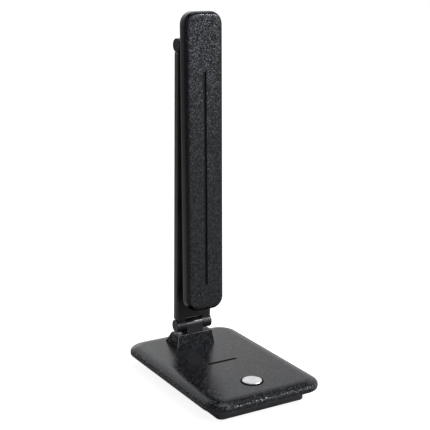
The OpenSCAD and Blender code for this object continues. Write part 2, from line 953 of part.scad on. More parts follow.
// A four-sided block that tapers to its top, seen from the hinge axis.
// inset moves all its sides inward by the same thickness
module pedestal_form(inset, drop) {
    low = -hinge_rise - (inset > 0 ? over : 0);
    high = -hinge_rise + pedestal_h - drop;
    side_run = (pedestal_foot_w - pedestal_top_w) / 2 / pedestal_h;
    front_run = (pedestal_front - pedestal_top_front) / pedestal_h;
    back_run = (pedestal_back - pedestal_top_back) / pedestal_h;
    low_h = low + hinge_rise;
    high_h = high + hinge_rise;
    half_w = pedestal_foot_w / 2 - inset;
    front_y = inset - pedestal_front;
    back_y = pedestal_back - inset * sqrt(1 + back_run * back_run);
    intersection() {
        rotate([90, 0, 0])
            linear_extrude(3 * pedestal_back, center = true)
                polygon([
                    [side_run * low_h - half_w, low],
                    [half_w - side_run * low_h, low],
                    [half_w - side_run * high_h, high],
                    [side_run * high_h - half_w, high]
                ]);
        rotate([90, 0, 90])
            linear_extrude(2 * pedestal_foot_w, center = true)
                polygon([
                    [front_y + front_run * low_h, low],
                    [back_y - back_run * low_h, low],
                    [back_y - back_run * high_h, high],
                    [front_y + front_run * high_h, high]
                ]);
    }
}

module pedestal_cover() {
    color(leather_colour)
        on_base()
            difference() {
                pedestal_form(0, 0);
                pedestal_form(pedestal_wall, pedestal_wall);
                translate([-middle_w / 2 - loose, -middle_r - loose, -hinge_rise - over])
                    cube([middle_w + 2 * loose, 2 * (middle_r + loose), hinge_rise]);
            }
}

module hinge_block() {
    color(metal_colour)
        on_base()
            difference() {
                union() {
                    x_cylinder(middle_r, -middle_w / 2, middle_w / 2);
                    translate([-middle_w / 2, -middle_r, -hinge_rise])
                        cube([middle_w, 2 * middle_r, hinge_rise]);
                    translate([-block_foot_w / 2, -block_foot_front, -hinge_rise])
                        cube([block_foot_w, block_foot_front + block_foot_back, block_foot_t]);
                }
                x_cylinder(shaft_r + running_play, -middle_w, middle_w);
                translate([0, 0, -hinge_rise - over])
                    cylinder(r = lead_hole_r, h = hinge_rise + over);
                for (y = block_screw_y)
                    both_sides()
                        translate([block_screw_x, y, -hinge_rise - over])
                            cylinder(r = case_screw_r + seat_play, h = block_foot_t + 2 * over);
            }
}

module hinge_block_screws() {
    color(steel_colour)
        for (y = block_screw_y)
            both_sides()
                translate([block_screw_x, hinge_y + y, ceiling_z])
                    screw(case_screw_r, block_screw_l, case_head_r, case_head_h);
}

// A shaft from cap to cap
module hinge_shaft() {
    x_cylinder(shaft_r, -cap_x, cap_x);
}

// One washer at each side of the middle knuckle
module hinge_washers() {
    both_sides()
        difference() {
            x_cylinder(washer_r, washer_x, washer_x + washer_t);
            x_cylinder(shaft_r + running_play, washer_x - over, washer_x + washer_t + over);
        }
}

// Two end caps with a bevelled rim
module hinge_caps() {
    both_sides() {
        x_cylinder(knuckle_r, cap_x, cap_x + cap_t - bevel);
        translate([cap_x + cap_t - bevel, 0, 0])
            rotate([0, 90, 0])
                cylinder(r1 = knuckle_r, r2 = knuckle_r - bevel, h = bevel);
    }
}

module lower_hinge_shaft() {
    color(steel_colour)
        on_arm()
            hinge_shaft();
}

module lower_hinge_washers() {
    color(rubber_colour)
        on_arm()
            hinge_washers();
}

module lower_hinge_caps() {
    color(metal_colour)
        on_arm()
            hinge_caps();
}

// ---------- arm ----------

// The arm's outline seen from the front, less a gap all round
module arm_outline(w, gap) {
    translate([0, (arm_low + arm_high) / 2])
        rounded_rect(w - 2 * gap, arm_high - arm_low - 2 * gap, arm_corner_r - gap);
}

// What the hinges need free at each end of the arm
module arm_end_cuts() {
    for (end = [0, 1])
        translate([0, 0, end * arm_len])
            mirror([0, 0, end]) {
                x_cylinder(scoop_r, -arm_w, arm_w);
                translate([-slot_w / 2, -arm_t, -over])
                    cube([slot_w, 2 * arm_t, slot_reach + over]);
            }
}

module arm_frame() {
    color(plastic_colour)
        on_arm()
            difference() {
                intersection() {
                    linear_extrude(arm_len)
                        rounded_rect(arm_w, arm_t, arm_edge_r);
                    rotate([90, 0, 0])
                        linear_extrude(2 * arm_t, center = true)
                            arm_outline(arm_w, 0);
                }
                arm_end_cuts();
                translate([-channel_w / 2, channel_front - over, -over])
                    cube([channel_w, channel_back - channel_front + over, arm_len + 2 * over]);
                translate([-panel_w / 2 - panel_gap, -arm_t / 2 - over, -over])
                    cube([panel_w + 2 * panel_gap, panel_t + over, arm_len + 2 * over]);
                for (end = [0, 1])
                    translate([0, 0, end * arm_len])
                        mirror([0, 0, end])
                            for (z = fork_screw_z)
                                both_sides()
                                    translate([fork_screw_x, fork_screw_tip + blind_end, z])
                                        rotate([90, 0, 0])
                                            cylinder(r = fork_screw_r + seat_play, h = arm_t / 2);
            }
}

module arm_front_panel() {
    color(plastic_colour)
        on_arm()
            difference() {
                translate([0, -arm_t / 2 + panel_t, 0])
                    rotate([90, 0, 0])
                        linear_extrude(panel_t)
                            translate([0, arm_low])
                                translate([-panel_w / 2, 0])
                                    square([panel_w, arm_high - arm_low]);
                arm_end_cuts();
            }
}

module arm_stiffening_bar() {
    color(steel_colour)
        on_arm()
            translate([-bar_w / 2, channel_back - bar_t, bar_start])
                cube([bar_w, bar_t, arm_len - 2 * bar_start]);
}

module arm_lead() {
    color(rubber_colour)
        on_arm()
            translate([lead_x, channel_back - lead_r, tongue_end + lead_gap])
                cylinder(r = lead_r, h = arm_len - 2 * (tongue_end + lead_gap));
}

// Two knuckles on a tongue that slides into the arm, drawn about the hinge axis
module fork() {
    groove_step = knuckle_w / (ring_groove_count + 1);
    neck_w = tongue_w / 2 - neck_x;
    difference() {
        union() {
            both_sides() {
                x_cylinder(knuckle_r, knuckle_x, cap_x);
                translate([neck_x, tongue_y - tongue_t / 2, 0])
                    cube([neck_w, tongue_t, tongue_start + over]);
            }
            translate([-tongue_w / 2, tongue_y - tongue_t / 2, tongue_start])
                cube([tongue_w, tongue_t, tongue_l]);
        }
        both_sides() {
            x_cylinder(shaft_r + seat_play / 2, knuckle_x - over, cap_x + over);
            for (i = [1:ring_groove_count])
                difference() {
                    x_cylinder(knuckle_r + over, knuckle_x + i * groove_step - ring_groove_w / 2,
                        knuckle_x + i * groove_step + ring_groove_w / 2);
                    x_cylinder(knuckle_r - ring_groove_depth, knuckle_x, cap_x);
                    translate([0, tongue_y - tongue_t / 2 - loose, 0])
                        cube([arm_w, tongue_t + 2 * loose, tongue_start]);
                }
            for (z = fork_screw_z)
                translate([fork_screw_x, arm_t, z])
                    rotate([90, 0, 0]) {
                        cylinder(r = fork_screw_r + loose, h = 2 * arm_t);
                        translate([0, 0, arm_t - fork_screw_seat])
                            cylinder(r = fork_head_r + loose, h = arm_t);
                    }
        }
    }
}

module arm_lower_fork() {
    color(metal_colour)
        on_arm()
            fork();
}

module arm_upper_fork() {
    color(metal_colour)
        on_arm_top()
            fork();
}

module fork_screws() {
    color(steel_colour)
        on_arm()
            for (end = [0, 1])
                translate([0, 0, end * arm_len])
                    mirror([0, 0, end])
                        for (z = fork_screw_z)
                            both_sides()
                                translate([fork_screw_x, fork_screw_seat, z])
                                    rotate([-90, 0, 0])
                                        screw(fork_screw_r, fork_screw_tip - fork_screw_seat,
                                            fork_head_r, fork_head_h);
}

module upper_hinge_shaft() {
    color(steel_colour)
        on_arm_top()
            hinge_shaft();
}

module upper_hinge_washers() {
    color(rubber_colour)
        on_arm_top()
            hinge_washers();
}

module upper_hinge_caps() {
    color(metal_colour)
        on_arm_top()
            hinge_caps();
}

// ---------- head ----------

module head_cover() {
    color(leather_colour)
        on_head() {
            difference() {
                translate([0, head_mid, frame_depth])
                    rounded_slab(head_w, head_l, head_corner_r, head_cover_t, [head_edge_r], []);
                translate([0, head_mid, frame_depth - over])
                    linear_extrude(head_t - head_skin - frame_depth + over)
                        rounded_rect(cover_in_w, cover_in_l, cover_in_r);
                translate([0, (-groove_top - head_down + groove_low) / 2, head_t - groove_depth])
                    rotate([0, 0, 90])
                        linear_extrude(groove_depth + over)
                            stadium(head_down - groove_top - groove_low, groove_w);
            }
            for (y = head_screw_y)
                both_sides()
                    translate([head_screw_x, y, frame_floor])
                        difference() {
                            cylinder(r = head_boss_r, h = head_t - head_skin - frame_floor);
                            translate([0, 0, -over])
                                cylinder(r = fork_screw_r + seat_play, h = head_screw_l + over);
                        }
        }
}

// The window's outline, grown by the same amount all round
module window_outline(grow) {
    rounded_rect(window_w + 2 * grow, window_l + 2 * grow, window_r + grow);
}

module head_frame() {
    lip_w = cover_in_w - 2 * lip_gap;
    lip_l = cover_in_l - 2 * lip_gap;
    lip_r = cover_in_r - lip_gap;
    color(plastic_colour)
        on_head()
            difference() {
                union() {
                    difference() {
                        translate([0, head_mid, 0]) {
                            rounded_slab(head_w, head_l, head_corner_r, frame_depth, [], [frame_edge_r]);
                            linear_extrude(frame_depth + lip_rise)
                                rounded_rect(lip_w, lip_l, lip_r);
                        }
                        translate([0, head_mid, frame_floor])
                            linear_extrude(head_t)
                                rounded_rect(lip_w - 2 * lip_t, lip_l - 2 * lip_t, lip_r - lip_t);
                    }
                    // Ribs that carry the LED board
                    both_sides()
                        translate([window_w / 2 + ledge_w, window_mid - window_l / 2, frame_floor / 2])
                            cube([led_rib_w, window_l, led_seat - frame_floor / 2]);
                }
                // Window, with a ledge for the diffuser
                translate([0, window_mid, -over])
                    linear_extrude(frame_depth + 2 * over)
                        window_outline(0);
                translate([0, window_mid, ledge_t])
                    linear_extrude(led_seat)
                        window_outline(ledge_w);
                // Way through for the hinge lug
                translate([-middle_w / 2 - loose, -lug_neck / 2 - loose, -over])
                    cube([middle_w + 2 * loose, lug_neck + 2 * loose, frame_floor + 2 * over]);
                four_corners(lug_screw_x, lug_screw_y)
                    translate([0, 0, lug_screw_tip - blind_end])
                        cylinder(r = fork_screw_r + seat_play, h = frame_floor + over);
                for (y = head_screw_y)
                    both_sides()
                        translate([head_screw_x, y, -over]) {
                            cylinder(r = fork_screw_r + loose, h = frame_depth + over);
                            cylinder(r = fork_head_r + loose, h = head_screw_seat + over);
                        }
            }
}

module head_diffuser() {
    color(opal_colour)
        on_head()
            translate([0, window_mid, 0]) {
                translate([0, 0, diffuser_z])
                    linear_extrude(diffuser_t)
                        window_outline(-diffuser_play);
                translate([0, 0, ledge_t])
                    linear_extrude(diffuser_z + diffuser_t - ledge_t)
                        window_outline(ledge_w - diffuser_play);
            }
}

module led_board() {
    color(silver_colour)
        on_head()
            translate([-led_board_w / 2, window_mid - led_board_l / 2, led_seat])
                cube([led_board_w, led_board_l, led_board_t]);
}

module leds() {
    led_step = (window_l - 2 * led_end) / (led_count - 1);
    led_first = window_mid - window_l / 2 + led_end;
    color("#f0e27a")
        on_head()
            for (i = [0:led_count - 1])
                both_sides()
                    translate([led_row_gap / 2, led_first + i * led_step, led_seat - led_t / 2])
                        cube([led_side, led_side, led_t], center = true);
}

module head_hinge_lug() {
    color(metal_colour)
        difference() {
            union() {
                on_head_axis() {
                    x_cylinder(middle_r, -middle_w / 2, middle_w / 2);
                    translate([-middle_w / 2, -head_offset - frame_floor - lug_foot_t / 2, -lug_neck / 2])
                        cube([middle_w, head_offset + frame_floor + lug_foot_t / 2, lug_neck]);
                }
                on_head()
                    translate([-lug_foot_w / 2, -lug_foot_l / 2, frame_floor])
                        cube([lug_foot_w, lug_foot_l, lug_foot_t]);
            }
            on_head_axis()
                x_cylinder(shaft_r + running_play, -middle_w, middle_w);
            on_head()
                four_corners(lug_screw_x, lug_screw_y)
                    translate([0, 0, frame_floor - over])
                        cylinder(r = fork_screw_r + loose, h = lug_foot_t + 2 * over);
        }
}

module hinge_lug_screws() {
    color(steel_colour)
        on_head()
            four_corners(lug_screw_x, lug_screw_y)
                translate([0, 0, frame_floor + lug_foot_t])
                    mirror([0, 0, 1])
                        screw(fork_screw_r, lug_screw_l, small_head_r, small_head_h);
}

module head_screws() {
    color(steel_colour)
        on_head()
            for (y = head_screw_y)
                both_sides()
                    translate([head_screw_x, y, head_screw_seat])
                        screw(fork_screw_r, head_screw_l, fork_head_r, fork_head_h);
}

base_cover();
base_tray();
rubber_feet();
case_screws();
counterweight();
weight_screws();
main_board();
board_components();
board_screws();
push_switch();
power_board();
power_inlet();
base_lead();
button_ring();
button_cap();
switch_plunger();
pedestal_cover();
hinge_block();
hinge_block_screws();
arm_frame();
arm_front_panel();
arm_stiffening_bar();
arm_lead();
arm_lower_fork();
arm_upper_fork();
fork_screws();
lower_hinge_shaft();
lower_hinge_washers();
lower_hinge_caps();
upper_hinge_shaft();
upper_hinge_washers();
upper_hinge_caps();
head_cover();
head_frame();
head_diffuser();
led_board();
leds();
head_hinge_lug();
hinge_lug_screws();
head_screws();
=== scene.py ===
from collections import namedtuple
from math import radians

import bmesh
import bpy
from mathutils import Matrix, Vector


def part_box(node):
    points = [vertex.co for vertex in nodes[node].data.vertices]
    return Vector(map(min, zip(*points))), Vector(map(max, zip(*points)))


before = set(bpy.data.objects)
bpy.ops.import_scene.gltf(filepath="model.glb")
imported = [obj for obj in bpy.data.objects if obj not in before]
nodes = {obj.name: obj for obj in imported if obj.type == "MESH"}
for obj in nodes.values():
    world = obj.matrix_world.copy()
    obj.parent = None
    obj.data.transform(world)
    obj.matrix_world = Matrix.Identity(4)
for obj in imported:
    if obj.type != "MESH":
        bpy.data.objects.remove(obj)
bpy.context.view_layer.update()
scene = bpy.context.scene


def grey(level):
    return (level, level, level)


# ---------------------------------------------------------------- node trees

class Graph:
    """A node tree whose nodes are added one call at a time."""

    def __init__(self, tree):
        self.tree = tree

    def feed(self, socket, value):
        if isinstance(value, bpy.types.NodeSocket):
            self.tree.links.new(value, socket)
        else:
            socket.default_value = value

    def add(self, kind, inputs=None, **settings):
        node = self.tree.nodes.new(kind)
        for key, value in settings.items():
            setattr(node, key, value)
        for key, value in (inputs or {}).items():
            self.feed(node.inputs[key], value)
        return node

    def math(self, operation, value, other=0.0):
        return self.add("ShaderNodeMath", {0: value, 1: other}, operation=operation).outputs[0]

    def vector(self, operation, value, other=(0, 0, 0)):
        return self.add("ShaderNodeVectorMath", {0: value, 1: other}, operation=operation).outputs[0]

    def scaled(self, vector, factor):
        return self.add("ShaderNodeVectorMath", {0: vector, "Scale": factor}, operation="SCALE").outputs[0]

    def axes(self, vector):
        return self.add("ShaderNodeSeparateXYZ", {0: vector}).outputs

    def squeeze(self, value, span, to, soft=False):
        """Brings the ends of span to the ends of to, and holds the value there beyond them."""
        return self.add("ShaderNodeMapRange", {
            "Value": value, "From Min": span[0], "From Max": span[1], "To Min": to[0], "To Max": to[1],
        }, clamp=True, interpolation_type="SMOOTHSTEP" if soft else "LINEAR").outputs["Result"]

    def blend(self, value, other, share):
        """That share of the value, and the rest of the other."""
        return self.math("ADD", self.math("MULTIPLY", value, share), self.math("MULTIPLY", other, 1 - share))

    def tinted(self, colour, other, share):
        """The colour, with that share of it replaced by the other one."""
        return self.add("ShaderNodeMix", {0: share, 6: colour, 7: (*other, 1)}, data_type="RGBA").outputs[2]


class Look(Graph):
    """A material with a Principled surface, its pattern fixed to the object's own coordinates."""

    def __init__(self, name, **sockets):
        self.material = bpy.data.materials.new(name)
        self.material.use_nodes = True
        super().__init__(self.material.node_tree)
        self.surface = self.tree.nodes["Principled BSDF"]
        for socket, value in sockets.items():
            self.feed(self.surface.inputs[socket.replace("_", " ")], value)
        coordinates = self.add("ShaderNodeTexCoord")
        self.place = coordinates.outputs["Object"]
        self.facing = coordinates.outputs["Normal"]

    def noise(self, scale, detail=3, rough=0.6, place=None):
        return self.add("ShaderNodeTexNoise", {
            "Vector": place or self.place, "Scale": scale, "Detail": detail, "Roughness": rough,
        }).outputs["Fac"]

    def stretched(self, scale):
        return self.add("ShaderNodeMapping", {"Vector": self.place, "Scale": scale}).outputs[0]

    def centred(self, colour):
        """Chance values between 0 and 1, brought round 0."""
        return self.vector("SUBTRACT", colour, (0.5, 0.5, 0.5))

    def warp(self, scale, amount):
        """Object coordinates pushed about by noise, in metres."""
        wander = self.add("ShaderNodeTexNoise", {"Vector": self.place, "Scale": scale, "Detail": 2.0})
        push = self.scaled(self.centred(wander.outputs["Color"]), amount)
        return self.vector("ADD", self.place, push)

    def grains(self, scale, place):
        """Round grains: the distance from each one's middle, and three chance values of its own."""
        cell = self.add("ShaderNodeTexVoronoi", {"Vector": place, "Scale": scale})
        return cell.outputs["Distance"], cell.outputs["Color"]

    def channel(self, colour, name):
        return self.add("ShaderNodeSeparateColor", {"Color": colour}).outputs[name]

    def tilted(self, chance, amount):
        """The surface's own direction, leant a little another way in every grain."""
        straight = self.add("ShaderNodeNewGeometry").outputs["Normal"]
        lean = self.scaled(self.centred(chance), amount)
        return self.vector("NORMALIZE", self.vector("ADD", straight, lean))

    def away_from(self, centre, half):
        """Distance from a straight core, given by its centre and its half sizes along X, Y and Z."""
        side = self.vector("ABSOLUTE", self.vector("SUBTRACT", self.place, centre))
        gap = self.vector("MAXIMUM", self.vector("SUBTRACT", side, half))
        return self.add("ShaderNodeVectorMath", {0: gap}, operation="LENGTH").outputs["Value"]

    def ramp(self, value, low_colour, high_colour, span=(0.0, 1.0)):
        node = self.add("ShaderNodeValToRGB", {"Fac": value})
        low, high = node.color_ramp.elements
        low.position, high.position = span
        low.color = (*low_colour, 1)
        high.color = (*high_colour, 1)
        return node.outputs["Color"]

    def bump(self, height, distance, strength=1.0, under=None):
        inputs = {"Height": height, "Distance": distance, "Strength": strength}
        if under:
            inputs["Normal"] = under
        return self.add("ShaderNodeBump", inputs).outputs["Normal"]

    def finish(self, colour, rough=None, normal=None):
        self.feed(self.surface.inputs["Base Color"], colour)
        if rough:
            self.feed(self.surface.inputs["Roughness"], rough)
        if normal:
            self.feed(self.surface.inputs["Normal"], normal)
        return self.material


# ---------------------------------------------------------------- the skin
# Here and below, lengths are in metres, and a pattern's scale is in repeats per metre.

UNIT = (0.0, 1.0)
NOISE_SPAN = (0.3, 0.7)         # what noise mostly fills of its range of 0 to 1
SKIN_SPECULAR = 0.27
SKIN_PATCHES = 26               # scale of the broad patches of gloss
WANDER_SCALE = 300              # scale of the noise that bends the rows of grains
# painted shade in and beside the pressed lines
GROOVE_SHADE = grey(0.0004)
GROOVE_ROUGH = 0.8
EDGE_HIGHLIGHT_SPAN = (0.16, 0.26)      # where the painted highlight starts and is full: 0 is a flat side, 0.5 is 45 degrees on

Crease = namedtuple("Crease", "centre half full_within gone_beyond")


def groove_shaded(look, colour, rough, crease):
    """Dulls the skin inside a pressed line and just beside it, and darkens it there with painted shade for
    the groove's hollow.
    """
    if not crease:
        return colour, rough
    away = look.away_from(crease.centre, crease.half)
    pressed = look.squeeze(away, (crease.full_within, crease.gone_beyond), (1.0, 0.0), soft=True)
    dull = look.squeeze(pressed, UNIT, (0.0, GROOVE_ROUGH))
    return look.tinted(colour, GROOVE_SHADE, pressed), look.math("MAXIMUM", rough, dull)


def highlighted_edges(look, colour, tone):
    """Lighter colour on the front's edges: a painted highlight where they catch the light."""
    axes = look.axes(look.facing)
    side = look.math("ABSOLUTE", axes["X"])
    front = look.math("MULTIPLY", axes["Y"], -1.0)
    corner = look.math("MULTIPLY", look.math("MAXIMUM", side, axes["Z"]), front)
    return look.tinted(colour, tone, look.squeeze(corner, EDGE_HIGHLIGHT_SPAN, UNIT))


SPARKLING_FLANK = (0.40, 0.65)  # cells from a grain's middle to where it starts to fall, and to its crease
GRAIN_HEIGHT = 0.00001
# painted shade in the creases between grains
CREASE_PAINTED_SHADE = grey(0.0005)
CREASE_ROUGH = 0.4              # added to the roughness in the creases between grains
FRONT_SPAN = (-0.97, -0.85)     # which way a surface points along Y, on the flat front and on its round edge
EDGE_LEAN = 0.1                 # share of the grains' lean that the round edge keeps
EDGE_SHADE = 0.35               # share of the grains' colour that the round edge keeps: a painted shade


def sparkling(name, scale, lean, light, crease=None, flat_face=False, edge_highlight=None):
    """Black leather-look skin: small grains, each with a lean and a tone of its own, between dull creases
    with painted shade.
    With flat_face, the skin pulled round the front's edges is darker, a painted shade, and its grains lie
    flatter."""
    look = Look(name, Specular_IOR_Level=SKIN_SPECULAR, Specular_Tint=(0.83, 0.88, 1.0, 1))
    distance, chance = look.grains(scale, look.warp(WANDER_SCALE, amount=0.0004))
    dome = look.squeeze(distance, SPARKLING_FLANK, (1.0, 0.0), soft=True)
    grain = look.math("MULTIPLY", look.channel(chance, "Blue"), dome)
    crack = look.squeeze(dome, (0.0, 0.5), (CREASE_ROUGH, 0.0))
    if flat_face:
        front = look.squeeze(look.axes(look.facing)["Y"], FRONT_SPAN, (1.0, 0.0))
        lean = look.squeeze(front, UNIT, (lean * EDGE_LEAN, lean))
        # painted shade: the round edge of the front is darker
        grain = look.math("MULTIPLY", grain, look.squeeze(front, UNIT, (EDGE_SHADE, 1.0)))
        crack = look.math("MULTIPLY", crack, front)
    gloss = look.squeeze(look.noise(SKIN_PATCHES), NOISE_SPAN, (0.08, 0.12))
    # painted shade: the creases between grains are darker
    colour = look.ramp(grain, CREASE_PAINTED_SHADE, light)
    # painted highlight on the front's edges
    if edge_highlight:
        colour = highlighted_edges(look, colour, edge_highlight)
    colour, rough = groove_shaded(look, colour, look.math("ADD", gloss, crack), crease)
    return look.finish(colour, rough, look.bump(dome, GRAIN_HEIGHT, under=look.tilted(chance, lean)))


SMOOTH_FLANK = (0.15, 0.62)
LEAST_HEIGHT = 0.25             # of the lowest grains, if the highest are 1
RIM_GRAINS = 1150               # scale of the finer grains round the rim
RIM_SPAN = (0.72, 0.95)         # which way a surface points along Z, on the rim and on the level top


def smooth_leather(name, scale, relief, dark, light, rim_lean, crease):
    """The same skin drawn smoother over padding: low rounded grains of uneven height, darker towards the
    creases and on the lower grains as painted shade.
    Round the rim, off the level top, finer grains lean and sparkle."""
    look = Look(name, Specular_IOR_Level=SKIN_SPECULAR, Specular_Tint=(0.90, 0.95, 1.0, 1))
    distance, chance = look.grains(scale, look.warp(WANDER_SCALE, amount=0.0008))
    dome = look.squeeze(distance, SMOOTH_FLANK, (1.0, 0.0), soft=True)
    height = look.squeeze(look.channel(chance, "Red"), UNIT, (LEAST_HEIGHT, 1.0))
    grain = look.math("MULTIPLY", dome, height)
    gloss = look.squeeze(look.noise(SKIN_PATCHES), NOISE_SPAN, (0.17, 0.24))
    # painted shade: the creases and the lower grains are darker
    colour = look.ramp(grain, dark, light, span=(0.1, 0.9))
    colour, rough = groove_shaded(look, colour, gloss, crease)
    rim_chance = look.grains(RIM_GRAINS, look.place)[1]
    lean = look.squeeze(look.axes(look.facing)["Z"], RIM_SPAN, (rim_lean, 0.0))
    return look.finish(colour, rough, look.bump(grain, relief, under=look.tilted(rim_chance, lean)))


# ---------------------------------------------------------------- plastic and metal

PLASTIC_PATCHES = 35
PLASTIC_SPECKS = 5200
BACK_SPAN = (0.05, 0.6)         # which way a surface points along Y, where it starts to dim and is dimmest
BACK_SHADE = 0.25               # share of the colour that is left on the back, a painted shade
BACK_ROUGH = 0.3                # added to the roughness there


def moulded(name, dark, light, rough_span, grain=0.00003, specular=0.5, dim_back=False):
    """Moulded plastic. With dim_back, what faces away from the front is darker, a painted shade, and duller.
    """
    look = Look(name, Specular_IOR_Level=specular)
    specks = look.noise(PLASTIC_SPECKS, detail=2, rough=0.5)
    patches = look.noise(PLASTIC_PATCHES)
    shade = look.blend(patches, specks, share=0.7)
    rough = look.squeeze(patches, NOISE_SPAN, rough_span)
    if dim_back:
        # painted shade on the back
        turned = look.squeeze(look.axes(look.facing)["Y"], BACK_SPAN, (1.0, BACK_SHADE))
        shade = look.math("MULTIPLY", shade, turned)
        rough = look.math("ADD", rough, look.squeeze(turned, (BACK_SHADE, 1.0), (BACK_ROUGH, 0.0)))
    colour = look.ramp(shade, dark, light, NOISE_SPAN)
    return look.finish(colour, rough, look.bump(specks, grain, strength=0.6))


METAL_PATCHES = 60
METAL_LINES = 90
LINE_DEPTH = 0.00002


def metal(name, dark, light, rough_span, metallic=1.0, stretch=(1, 60, 60)):
    """Metal with fine lines drawn along X, or with specks where the stretch is the same all round."""
    look = Look(name, Metallic=metallic)
    lines = look.noise(METAL_LINES, detail=4, rough=0.65, place=look.stretched(stretch))
    shade = look.blend(lines, look.noise(METAL_PATCHES), share=0.6)
    colour = look.ramp(shade, dark, light, NOISE_SPAN)
    rough = look.squeeze(shade, NOISE_SPAN, rough_span)
    return look.finish(colour, rough, look.bump(lines, LINE_DEPTH, strength=0.4))


BRUSH_LINES = 700
BRUSH_STRETCH = (0.08, 1.6, 1.0)
SMUDGES = 160


def brushed(name, dark, light, rough_span):
    """Silver metal brushed in fine lines from side to side."""
    look = Look(name, Metallic=1.0)
    lines = look.noise(BRUSH_LINES, place=look.stretched(BRUSH_STRETCH))
    smudge = look.noise(SMUDGES)
    shade = look.blend(lines, smudge, share=0.75)
    colour = look.ramp(shade, dark, light, span=(0.35, 0.65))
    rough = look.squeeze(smudge, NOISE_SPAN, rough_span)
    return look.finish(colour, rough, look.bump(lines, LINE_DEPTH, strength=0.6))


# ---------------------------------------------------------------- pressed lines
# They are cut in the solids. The creases follow them, in the middle of the cover that each one is in, and
# darken them with painted shade.

THROUGH = 1.0                   # half a core's size through the skin, so long that depth makes no difference
GROOVE_ABOVE_END = 0.028364     # from the lower end of the head's cover to the core of its groove
GROOVE_BELOW_TOP = 0.05666      # from the top of that cover to the core
LINE_BEFORE_MIDDLE = 0.0025     # from the middle of the base to its line, towards the front
LINE_HALF = 0.0150


def head_groove():
    low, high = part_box("head_cover")
    middle = (low + high) / 2
    bottom = low.z + GROOVE_ABOVE_END
    top = high.z - GROOVE_BELOW_TOP
    centre = (middle.x, middle.y, (bottom + top) / 2)
    return Crease(centre, half=(0, THROUGH, (top - bottom) / 2), full_within=0.0014, gone_beyond=0.0021)


def base_line():
    low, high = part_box("base_cover")
    middle = (low + high) / 2
    centre = (middle.x, middle.y - LINE_BEFORE_MIDDLE, middle.z)
    return Crease(centre, half=(LINE_HALF, 0, THROUGH), full_within=0.0014, gone_beyond=0.0028)


# ---------------------------------------------------------------- this lamp's materials

# Its groove and the round edges of its front carry painted shade.
HEAD_LEATHER = sparkling(
    "head_leather", scale=1100, lean=0.30, light=(0.046, 0.046, 0.047), crease=head_groove(), flat_face=True)
# edge_highlight paints a highlight on the pedestal's front edges.
PEDESTAL_LEATHER = sparkling(
    "pedestal_leather", scale=1000, lean=0.45, light=(0.010, 0.010, 0.011), edge_highlight=(0.26, 0.26, 0.27))
BASE_LEATHER = smooth_leather(
    "base_leather", scale=560, relief=0.00010, dark=(0.003, 0.003, 0.004), light=(0.034, 0.035, 0.041),
    rim_lean=0.50, crease=base_line())

# dim_back paints shade on the back of the arm and head frames.
PLASTIC = moulded("dark_plastic", grey(0.004), (0.032, 0.032, 0.034), (0.30, 0.42), dim_back=True)
TRAY = moulded("tray_plastic", (0.011, 0.011, 0.012), (0.018, 0.018, 0.020), (0.42, 0.55), grain=0.00006)
GLOSS = moulded("gloss_black", grey(0.001), grey(0.003), (0.18, 0.26), grain=0.00001, specular=0.12)
RUBBER = moulded("rubber", grey(0.008), grey(0.015), (0.7, 0.85), grain=0.00008)
OPAL = moulded("opal", (0.80, 0.79, 0.76), (0.86, 0.85, 0.82), (0.38, 0.5), grain=0.00004)
BOARD = moulded("board_green", (0.012, 0.07, 0.03), (0.02, 0.10, 0.045), (0.3, 0.42))
CARRIER = moulded("led_carrier_white", (0.70, 0.70, 0.69), (0.78, 0.78, 0.77), (0.35, 0.5))
PHOSPHOR = moulded("led_phosphor", (0.75, 0.62, 0.18), (0.83, 0.71, 0.25), (0.3, 0.4))
HINGE = metal("hinge_paint", (0.013, 0.013, 0.016), (0.022, 0.022, 0.026), (0.12, 0.18), metallic=0.6)
KNUCKLE = metal("knuckle_paint", (0.010, 0.010, 0.012), (0.018, 0.018, 0.021), (0.34, 0.44), metallic=0.4)
# Black plastic, set darker than the frame's as painted shade under the head.
PANEL = moulded("panel_black", grey(0.006), grey(0.018), (0.34, 0.46), specular=0.20)
RING = moulded("ring_black", grey(0.0006), grey(0.002), (0.5, 0.6), grain=0.00002, specular=0.02)
WASHER = moulded("washer_black", grey(0.0008), grey(0.002), (0.6, 0.7), grain=0.00002, specular=0.02)
STEEL = metal("steel", (0.42, 0.42, 0.43), (0.58, 0.58, 0.60), (0.25, 0.4))
IRON = metal("cast_weight", grey(0.12), grey(0.20), (0.5, 0.7), stretch=(30, 30, 30))
BUTTON = brushed("button_silver", (0.50, 0.51, 0.53), (0.84, 0.84, 0.85), (0.26, 0.40))

FINISHES = {
    HEAD_LEATHER: ["head_cover"],
    PEDESTAL_LEATHER: ["pedestal_cover"],
    BASE_LEATHER: ["base_cover"],
    PLASTIC: ["arm_frame", "head_frame"],
    PANEL: ["arm_front_panel"],
    TRAY: ["base_tray"],
    RING: ["button_ring"],
    GLOSS: ["board_components", "push_switch"],
    WASHER: ["lower_hinge_washers", "upper_hinge_washers"],
    RUBBER: ["rubber_feet", "base_lead", "arm_lead"],
    OPAL: ["head_diffuser"],
    BOARD: ["main_board", "power_board"],
    CARRIER: ["led_board"],
    PHOSPHOR: ["leds"],
    HINGE: ["hinge_block", "head_hinge_lug", "lower_hinge_caps", "upper_hinge_caps"],
    KNUCKLE: ["arm_lower_fork", "arm_upper_fork"],
    STEEL: [
        "case_screws", "weight_screws", "board_screws", "power_inlet", "switch_plunger", "hinge_block_screws",
        "arm_stiffening_bar", "fork_screws", "lower_hinge_shaft", "upper_hinge_shaft", "hinge_lug_screws",
        "head_screws",
    ],
    IRON: ["counterweight"],
    BUTTON: ["button_cap"],
}
SMOOTH_BELOW = radians(28)

for material, names in FINISHES.items():
    for name in names:
        mesh = nodes[name].data
        mesh.materials.clear()
        mesh.materials.append(material)
        mesh.shade_smooth()
        mesh.set_sharp_from_angle(angle=SMOOTH_BELOW)


